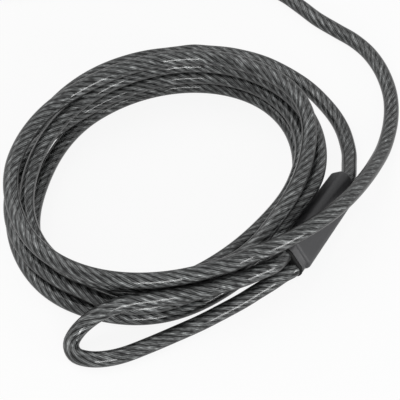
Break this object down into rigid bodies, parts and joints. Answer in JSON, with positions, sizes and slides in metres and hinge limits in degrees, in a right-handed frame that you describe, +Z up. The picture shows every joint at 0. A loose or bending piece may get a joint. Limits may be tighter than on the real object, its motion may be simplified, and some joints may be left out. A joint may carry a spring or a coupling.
{
  "type": "looped security cable",
  "caption": "Jacketed steel security cable in a loose coil, with a crimped eye in a moulded sleeve at each end.",
  "frame": {"origin": "on the surface that the cable lies on, under the middle of the whole object's plan box", "axes": "+Z up from the surface; +Y from the coil towards the far eye; the coil winds up counter-clockwise seen from above"},
  "size_m": [0.3547, 0.395, 0.0409],
  "materials": {
    "jacket": "smoked clear gloss",
    "rope": "twisted steel rope",
    "sleeve": "satin moulded",
    "lip": "satin",
    "ferrule": "crimped"
  },
  "bodies": {
    "root": {"coil_jacket": "jacket", "coil_rope": "rope", "lead_a_jacket": "jacket", "lead_a_rope": "rope", "lead_b_jacket": "jacket", "lead_b_rope": "rope", "eye_a_jacket": "jacket", "eye_a_rope": "rope", "eye_b_jacket": "jacket", "eye_b_rope": "rope", "sleeve_a": "sleeve", "sleeve_b": "sleeve", "lip_a": "lip", "lip_b": "lip", "ferrule_a": "ferrule", "ferrule_b": "ferrule"}
  },
  "joints": []
}
